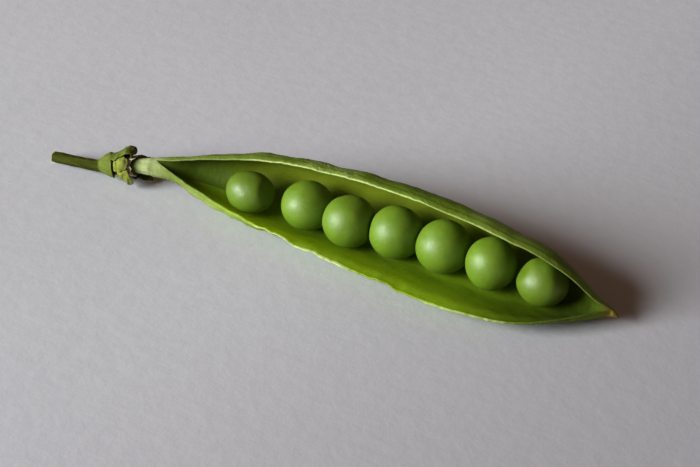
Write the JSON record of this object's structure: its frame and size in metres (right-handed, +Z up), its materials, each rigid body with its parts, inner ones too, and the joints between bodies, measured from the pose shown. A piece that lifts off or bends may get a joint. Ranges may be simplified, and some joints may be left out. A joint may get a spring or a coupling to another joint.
{
  "type": "opened garden pea pod with peas",
  "caption": "Opened garden pea pod lying on its side wall, with round peas in a curved two-valve shell, a withered calyx and a short cut stalk.",
  "frame": {"origin": "on the surface it rests on, under the middle of its bounding box", "axes": "+X from the cut stalk to the beak, +Y from the open front valve to the back valve, +Z up"},
  "size_m": [0.1058, 0.0192, 0.0122],
  "materials": {
    "pod_skin": "waxy green skin with a satin sheen, smooth and slightly darker inside",
    "pea_skin": "smooth fresh green seed coat with a soft waxy gloss",
    "funicle": "pale green seed stalk",
    "stalk": "olive green fibrous stalk",
    "sepal": "withered green to olive calyx lobe",
    "dry_stamen": "dry, pale and papery"
  },
  "bodies": {
    "root": {"pod_shell": "pod_skin", "pea_1": "pea_skin", "pea_2": "pea_skin", "pea_3": "pea_skin", "pea_4": "pea_skin", "pea_5": "pea_skin", "pea_6": "pea_skin", "pea_7": "pea_skin", "funicle_1": "funicle", "funicle_2": "funicle", "funicle_3": "funicle", "funicle_4": "funicle", "funicle_5": "funicle", "funicle_6": "funicle", "funicle_7": "funicle", "stalk": "stalk", "sepal_1": "sepal", "sepal_2": "sepal", "sepal_3": "sepal", "sepal_4": "sepal", "sepal_5": "sepal", "stamen_remains": "dry_stamen"}
  },
  "joints": []
}
